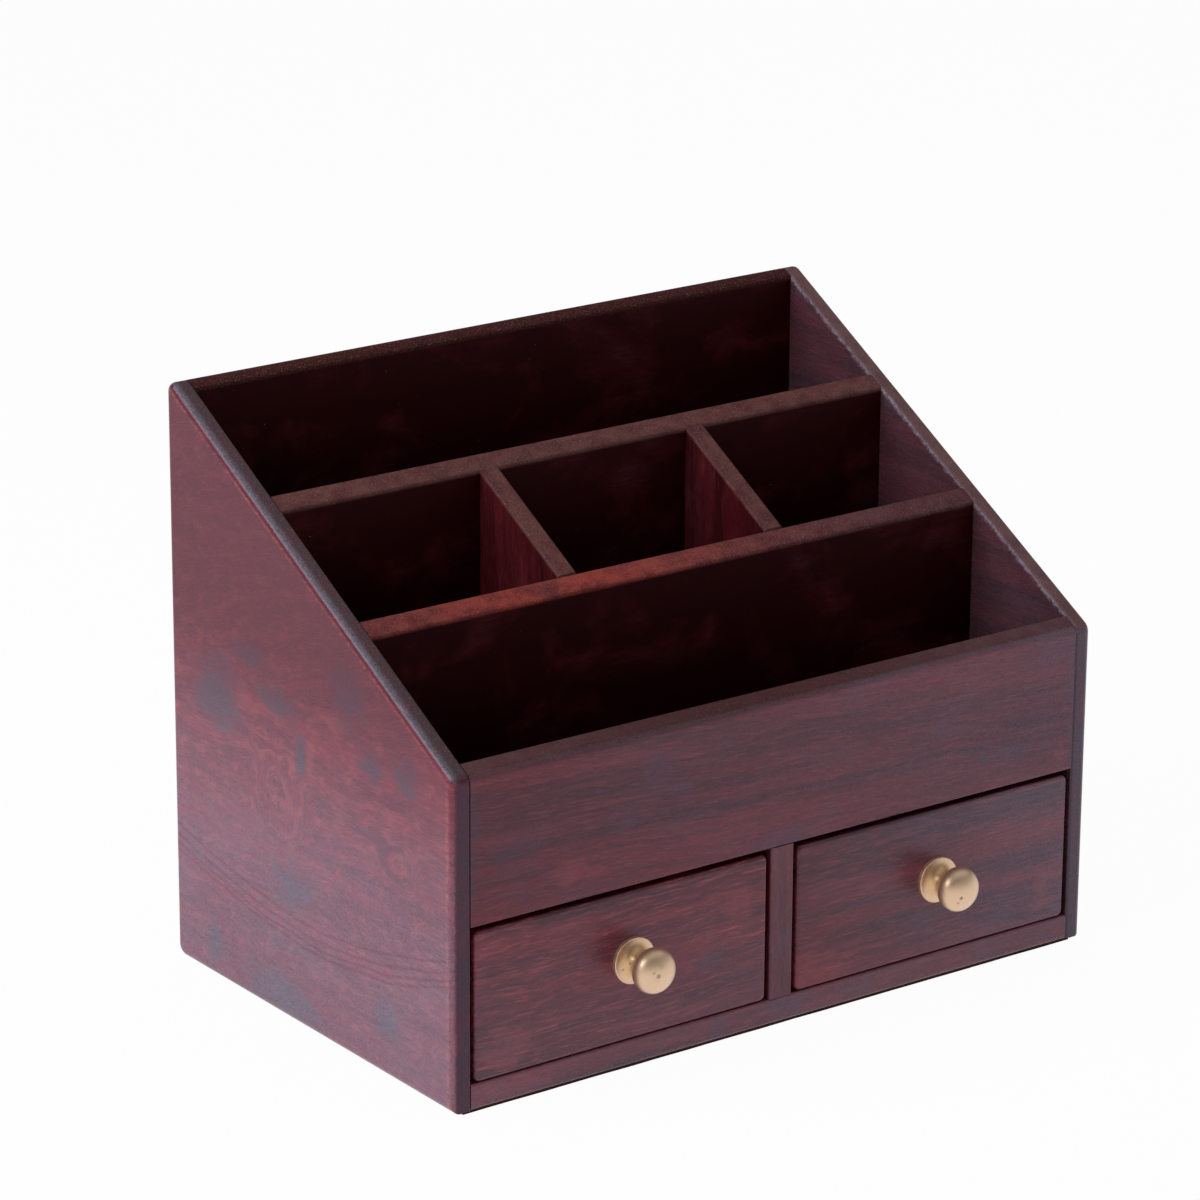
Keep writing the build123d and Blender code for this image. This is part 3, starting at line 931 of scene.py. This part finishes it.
# %% Knob sizes
knob_sizes = {
    "Rose Diameter": 15.2 * mm, "Rim Thickness": 1.4 * mm, "Rim Step": 0.5 * mm, "Rim Round": 0.3 * mm,
    "Neck Diameter": 6.4 * mm, "Neck Length": 0.9 * mm, "Head Diameter": 14.7 * mm,
    "Head Thickness": 10.4 * mm, "Head Edge Radius": 4.2 * mm, "Hole Diameter": 3.1 * mm,
    "Hole Depth": 6.05 * mm,
}
knob_lengths = [*knob_sizes, "Dent Size", "Dent Depth"]
knob_others = {"Place": "NodeSocketVector", "Dent Place": "NodeSocketVector", "Finish": "NodeSocketMaterial"}
knob_tree, start, size, knob_output = new_rule("turned_knob", knob_lengths, knob_others)

rose = size["Rose Diameter"] / 2
rim = size["Rim Thickness"]
rim_round = size["Rim Round"]
step = rose - size["Rim Step"]
neck = size["Neck Diameter"] / 2
hole = size["Hole Diameter"] / 2
depth = size["Hole Depth"]
edge = size["Head Edge Radius"]
half_head = size["Head Thickness"] / 2
edge_across = size["Head Diameter"] / 2 - edge
rise = half_head - edge
dome_centre = (edge_across * edge_across - rise * rise) / (2 * rise)
dome = dome_centre + half_head
cove = step - neck
cove_top = rim + cove
head_back = cove_top + size["Neck Length"]
head_middle = head_back - dome_centre + (dome * dome - neck * neck) ** 0.5
edge_angle = start.math("ARCTAN2", dome_centre, edge_across)
neck_angle = start.math("ARCCOSINE", neck / dome)
print(f"a knob has {len(knob_lengths)} sizes")

# %% [markdown]
# Brass knobs: turned and dented
#
# The template runs from the bottom of the hole round the rose, up the cove and over the ball. A dent is
# pressed in after turning, by moving points along their normals. A bump would be simpler, but a real dent
# catches the light from every side.

# %% Knob rule
knob_facets = 144
quarter = math.pi / 2
template = outline(start, [(0.0, depth), (hole, depth), (hole, 0.0), (rose, 0.0), (rose, rim - rim_round)])
template += [
    arc(start, (rose - rim_round, rim - rim_round), rim_round, 0.0, quarter, 6),
    stroke(start, (rose - rim_round, rim), (step, rim)),
    arc(start, (step, cove_top), cove, -2 * quarter, quarter, 28),
    stroke(start, (neck, cove_top), (neck, head_back)),
    arc(start, (0.0, head_middle + dome_centre), dome, -neck_angle, neck_angle - edge_angle, 14),
    arc(start, (edge_across, head_middle), edge, -edge_angle, 2 * edge_angle, 40),
    arc(start, (0.0, head_middle - dome_centre), dome, edge_angle, quarter - edge_angle, 30),
]
turned = turn(start, template, rose, knob_facets)
outward = start.node("GeometryNodeTransform", inputs={"Geometry": turned, "Rotation": (quarter, 0, 0)})
placed = start.node("GeometryNodeTransform", inputs={"Geometry": outward, "Translation": size["Place"]})
point = start.node("GeometryNodeInputPosition")
normal = start.node("GeometryNodeInputNormal")
from_dent = {0: point, 1: size["Dent Place"]}
away = start.node("ShaderNodeVectorMath", {"operation": "DISTANCE"}, from_dent, output="Value")
push = (away / size["Dent Size"]).bell() * -size["Dent Depth"]
pushed = start.node("ShaderNodeVectorMath", {"operation": "SCALE"}, {0: normal, "Scale": push})
dented = start.node("GeometryNodeSetPosition", inputs={"Geometry": placed, "Offset": pushed})
finish_rule(start, dented, size["Finish"], knob_output)
print("knob rule:", len(knob_tree.nodes), "nodes")

# %% [markdown]
# Two knobs from one rule
#
# Both knobs came off the same lathe, so one tree makes them. What differs is what wear did: a brown spot
# in a shallow dent on the left head, a small deep pit on the right one, and a few specks on the roses.
# Each knob stands where the frame has its own, and rides on its drawer.

# %% Knobs
knob_marks = {
    "left": {
        "spots": (
            (-59.9, -94.7, 36.3, 0.9, 0.75), (-61.3, -94.2, 37.5, 0.6, 0.5), (-58.7, -94.5, 39.0, 1.1, 0.2),
            (-63.2, -81.0, 34.4, 0.5, 0.8), (-61.7, -82.5, 36.7, 0.4, 0.8),
        ),
        "dent": (-59.9, -94.7, 36.3), "size": 0.7, "depth": 0.06,
    },
    "right": {
        "spots": (
            (60.2, -94.5, 34.0, 0.7, 0.95), (59.4, -93.9, 32.3, 0.6, 0.5), (59.8, -82.5, 33.4, 0.4, 0.7),
        ),
        "dent": (60.2, -94.5, 34.0), "size": 0.55, "depth": 0.22,
    },
}
for side, marks in knob_marks.items():
    low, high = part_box(f"{side}_knob")
    middle = (low + high) / 2
    place = Vector((middle.x, high.y, middle.z))
    brass = satin_brass(f"{side}_knob_brass", place.x / mm, place.z / mm, place.y / mm, marks["spots"])
    values = knob_sizes | {
        "Place": place, "Finish": brass, "Dent Place": Vector(marks["dent"]) * mm,
        "Dent Size": marks["size"] * mm, "Dent Depth": marks["depth"] * mm,
    }
    knob = run_rule(f"{side}_knob_turned", knob_tree, values)
    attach(knob, f"{side}_drawer")
    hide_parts(f"{side}_knob")

# %% [markdown]
# Steel pins and screws
#
# Panel pins hold the boards together: thin wire nails with a small head. Those of the case are set below
# the face and filled over, and the knob screws are hidden in the drawers, so both keep the plain shape
# that the frame gives them. The drawers' pins show when a drawer is out, so they are turned after this.

# %% Plain steel
steel_bright = (0.420, 0.410, 0.400, 1)
steel_dull = (0.220, 0.200, 0.185, 1)


def plain_steel():
    """Drawn steel wire, slightly dulled."""
    material, shader, start = new_material("plain_steel")
    dulled = even_noise(start, place_in_mm(start), 0.9, 2.0)
    colour = mix(dulled.rise(0.4, 0.7) * 0.6, steel_bright, steel_dull)
    feed(shader, {"Base Color": colour, "Roughness": 0.30 + dulled * 0.25, "Metallic": 1.0})
    return material


steel = plain_steel()
case_pins = ("left_side_pins", "right_side_pins", "mullion_pins", "divider_pins")
plain_fasteners = case_pins + ("left_knob_screw", "right_knob_screw")
for node in plain_fasteners:
    finish_node(node, steel)
print(f"{len(plain_fasteners)} sets of fasteners keep their plain shape")

# %% [markdown]
# One pin, many places
#
# A drawn pin has a small domed head, a slightly thinner shank and a point. Its template is turned once and
# set on points, each of which carries the direction in which its pin was driven.

# %% Pin rule
pin_sizes = {
    "Head Diameter": 1.4 * mm, "Head Thickness": 0.7 * mm,
    "Wire Diameter": 1.2 * mm, "Point Length": 1.6 * mm,
}
pin_facets = 12
pin_lengths = [*pin_sizes, "Length"]
pin_tree, start, size, pin_output = new_rule("panel_pins", pin_lengths, {"Finish": "NodeSocketMaterial"})
head = size["Head Diameter"] / 2
wire = size["Wire Diameter"] / 2
crown = head * 0.75
crown_end = size["Head Thickness"] * 0.3
head_end = size["Head Thickness"]
shank_start = size["Head Thickness"] * 1.2
point_start = size["Length"] - size["Point Length"]
template = outline(start, [
    (0.0, 0.0), (crown, 0.0), (head, crown_end), (head, head_end),
    (wire, shank_start), (wire, point_start), (0.0, size["Length"]),
])
pin = turn(start, template, head, pin_facets)
driven = start.node("GeometryNodeInputNamedAttribute", {"data_type": "FLOAT_VECTOR"}, {"Name": "direction"})
turned_to = start.node("FunctionNodeAlignRotationToVector", {"axis": "Z"}, {"Vector": driven})
set_out = {"Points": size["Geometry"], "Instance": pin, "Rotation": turned_to}
pins = start.node("GeometryNodeInstanceOnPoints", inputs=set_out)
finish_rule(start, pins, size["Finish"], pin_output)
print("pin rule:", len(pin_tree.nodes), "nodes")

# %% [markdown]
# Where the pins go
#
# Nothing about the pins' places is written here. The frame's own pins are separate islands of one mesh, so
# each island's box tells where a pin is and how long it is. Wall pins run inwards and bottom pins upwards.

# %% Pin places
def pin_islands(node):
    """The first and last corners of every separate pin in a node."""
    shape = bmesh.new()
    shape.from_mesh(nodes[node].data)
    bmesh.ops.remove_doubles(shape, verts=shape.verts, dist=same_place)
    unseen = set(shape.verts)
    boxes = []
    while unseen:
        grown = [unseen.pop()]
        island = []
        while grown:
            vertex = grown.pop()
            island.append(vertex.co.copy())
            beside = {edge.other_vert(vertex) for edge in vertex.link_edges} & unseen
            unseen -= beside
            grown += beside
        low = Vector(min(point[axis] for point in island) for axis in range(3))
        high = Vector(max(point[axis] for point in island) for axis in range(3))
        boxes.append((low, high))
    shape.free()
    return boxes


def pin_spots(boxes, middle_x):
    """The head of every pin, its direction and its length: wall pins point inwards, bottom pins up."""
    spots = []
    for low, high in boxes:
        centre = (low + high) / 2
        length = max(high - low)
        if high.z - low.z == length:
            direction = Vector((0, 0, 1))
        else:
            direction = Vector((1 if centre.x < middle_x else -1, 0, 0))
        head = centre - direction * length / 2
        spots.append(SimpleNamespace(head=head, direction=direction, length_mm=round(length / mm, 2)))
    return spots


print("pins on the left drawer:", len(pin_islands("left_drawer_pins")))

# %% [markdown]
# Driving the pins
#
# A drawer has pins of two lengths, and the rule runs once for each. The results are joined into one plain
# mesh for each drawer, because a drawer's pins move with it.

# %% Drawer pins
for side in ("left", "right"):
    low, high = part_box(f"{side}_drawer_front")
    spots = pin_spots(pin_islands(f"{side}_drawer_pins"), (low.x + high.x) / 2)
    lengths = sorted({spot.length_mm for spot in spots})
    joined = bmesh.new()
    for length_mm in lengths:
        group = [spot for spot in spots if spot.length_mm == length_mm]
        points = bpy.data.meshes.new("pin_points")
        points.from_pydata([spot.head for spot in group], [], [])
        directions = points.attributes.new("direction", "FLOAT_VECTOR", "POINT")
        for item, spot in zip(directions.data, group):
            item.vector = spot.direction
        values = pin_sizes | {"Length": length_mm * mm, "Finish": steel}
        part = run_rule(f"{side}_pins_{length_mm:.0f}_mm", pin_tree, values, points)
        joined.from_mesh(part.data)
        bpy.data.objects.remove(part)
    pin_mesh = bpy.data.meshes.new(f"{side}_drawer_pins_driven")
    joined.to_mesh(pin_mesh)
    joined.free()
    pin_mesh.materials.append(steel)
    drawer_pins = new_object(pin_mesh.name, pin_mesh)
    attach(drawer_pins, f"{side}_drawer")
    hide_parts(f"{side}_drawer_pins")
    print(f"{side} drawer: {len(spots)} pins, {lengths} mm long")

# %% [markdown]
# Felt cloth
#
# Pressed felt is a mat of short fibres without a weave. Real hairs would be far too many for a face that
# lies on the desk, so one fine noise gives both the tone of the fibres and their relief.

# %% Felt cloth
felt_deep = (0.050, 0.018, 0.022, 1)
felt_fibre = (0.130, 0.060, 0.062, 1)
felt_pressed = (0.040, 0.016, 0.020, 1)


def felt_cloth():
    """Short matted fibres, darker where they are pressed."""
    material, shader, start = new_material("pressed_felt")
    place = place_in_mm(start)
    fibres = even_noise(start, place, 0.35, 3.0, 0.65, 0.8)
    pressed = even_noise(start, place, 18.0, 3.0)
    colour = mix(fibres.rise(0.35, 0.7), felt_deep, felt_fibre)
    colour = mix(pressed.rise(0.45, 0.7) * 0.4, colour, felt_pressed)
    feed(shader, {
        "Base Color": colour, "Roughness": 0.95, "Normal": bumps(fibres, 0.6, 0.3 * mm),
        "Specular IOR Level": 0.1,
    })
    return material


print("felt from", felt_deep[:3], "to", felt_fibre[:3])

# %% [markdown]
# Felt under the case
#
# A sheet of pressed felt keeps the case from scratching the desk. It was cut by hand, so its edges wander
# by a fraction of a millimetre and its lower face is not quite flat. A fine grid moved by smooth noise
# gives both, and two such grids with a rim between them are a closed sheet.

# %% Felt sheet
felt_low, felt_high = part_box("base_felt")
felt_columns = 121
felt_rows = 77
cut_wander = 0.35 * mm
cut_waves = 60
pressed_in = 0.06 * mm
pressed_waves = 90


def felt_point(column, row, layer):
    """One point of the felt: layer 0 is the lower face, 1 the glued upper one."""
    share = Vector((column / felt_columns, row / felt_rows))
    x = felt_low.x + (felt_high.x - felt_low.x) * share.x
    y = felt_low.y + (felt_high.y - felt_low.y) * share.y
    wander = (random_field.noise(Vector((x, y, 0.3)) * cut_waves) - 1) * cut_wander / 2
    x -= wander * (1 - 2 * share.x) if column in (0, felt_columns) else 0
    y -= wander * (1 - 2 * share.y) if row in (0, felt_rows) else 0
    hollow = (random_field.noise(Vector((x, y, 0.7)) * pressed_waves) + 1) * pressed_in / 2
    z = felt_high.z if layer else felt_low.z + max(hollow, 0)
    return x, y, z


def felt_grid(layer):
    """The points of one face of the felt, column by column."""
    return [[felt_shape.verts.new(felt_point(column, row, layer)) for row in range(felt_rows + 1)]
            for column in range(felt_columns + 1)]


felt_shape = bmesh.new()
grids = [felt_grid(0), felt_grid(1)]
for column in range(felt_columns):
    for row in range(felt_rows):
        for layer, grid in enumerate(grids):
            near, far = grid[column], grid[column + 1]
            corners = [near[row], far[row], far[row + 1], near[row + 1]]
            felt_shape.faces.new(corners if layer else corners[::-1])
rims = [edge for edge in felt_shape.edges if len(edge.link_faces) == 1]
bmesh.ops.bridge_loops(felt_shape, edges=rims)
bmesh.ops.recalc_face_normals(felt_shape, faces=felt_shape.faces)
felt_mesh = bpy.data.meshes.new("base_felt_sheet")
felt_shape.to_mesh(felt_mesh)
felt_shape.free()
felt_mesh.materials.append(felt_cloth())
felt = new_object("base_felt_sheet", felt_mesh)
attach(felt, "case")
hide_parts("base_felt")

# %% [markdown]
# The floor
#
# The object stands on a white sweep. The camera and mirror-like surfaces see it nearly pure white, and a
# small share of its lit surface is kept so that the object's shadow stays.

# %% Floor
white = (1, 1, 1, 1)
white_share = 0.97
floor_half_width = 20.0
floor_mesh = bpy.data.meshes.new("floor")
shape = bmesh.new()
bmesh.ops.create_grid(shape, x_segments=1, y_segments=1, size=floor_half_width)
shape.to_mesh(floor_mesh)
shape.free()
floor = new_object("floor", floor_mesh)

floor_material, floor_shader, start = new_material("white_sweep")
feed(floor_shader, {"Base Color": (0.86, 0.86, 0.87, 1), "Roughness": 0.9})
rays = ("Is Camera Ray", "Is Glossy Ray", "Is Transmission Ray")
seen = max_of([start.node("ShaderNodeLightPath", output=ray) for ray in rays])
glow = start.node("ShaderNodeEmission", inputs={"Color": white, "Strength": 1.0})
lit = Wire(floor_material.node_tree, floor_shader.outputs[0])
blend = start.node("ShaderNodeMixShader", inputs={0: seen * white_share, 1: lit, 2: glow})
feed(floor_material.node_tree.nodes["Material Output"], {"Surface": blend})
floor_mesh.materials.append(floor_material)
print(f"the floor shows {white_share:.0%} white")

# %% [markdown]
# The lamps
#
# The main light is a wide soft box on the left, mostly behind the line of the front, which shows as the
# small white highlight on each knob and as the pale line along the sloping arris. A dim and large one
# overhead keeps the tops of the knobs from going dark.

# %% Lamps
lamp_distance = 1.3
lamps = {
    "key": {"direction": (-0.755, 0.09, 0.62), "width": 0.9, "height": 0.45, "power": 8.8},
    "overhead": {"direction": (0.35, -0.05, 0.93), "width": 2.0, "height": 2.0, "power": 6.0},
}


def soft_box(name, direction, width, height, power):
    """A lamp with its width level, that looks at the middle of the object's footprint."""
    place = Vector(direction).normalized() * lamp_distance
    data = bpy.data.lights.new(name, "AREA")
    data.shape = "RECTANGLE"
    data.size = width
    data.size_y = height
    data.energy = power
    lamp = new_object(name, data)
    lamp.location = place
    lamp.rotation_euler = (-place).to_track_quat("-Z", "Y").to_euler()


for name, settings in lamps.items():
    soft_box(name, **settings)
print(f"{len(lamps)} lamps at {lamp_distance} m:", list(lamps))

# %% [markdown]
# The sky
#
# The fronts face away from the lamps and are lit by the white floor and a pale horizon. An even world would
# light the tops as much as the fronts, so its strength falls off with height.

# %% Sky
overhead_sky = 0.10
horizon_glow = 0.75
glow_heights = (0.40, 0.03)
world = bpy.data.worlds.new("studio")
scene.world = world
world.use_nodes = True
sky = Wire(world.node_tree)
direction = sky.node("ShaderNodeTexCoord", output="Generated")
height = sky.node("ShaderNodeSeparateXYZ", inputs={0: direction}, output=2)
sky_level = overhead_sky + horizon_glow * height.rise(*glow_heights)
feed(world.node_tree.nodes["Background"], {"Color": white, "Strength": sky_level})
scene.view_settings.view_transform = "Standard"
print(f"the sky is {overhead_sky} overhead and {overhead_sky + horizon_glow:.2f} at the horizon")

# %% [markdown]
# The end
#
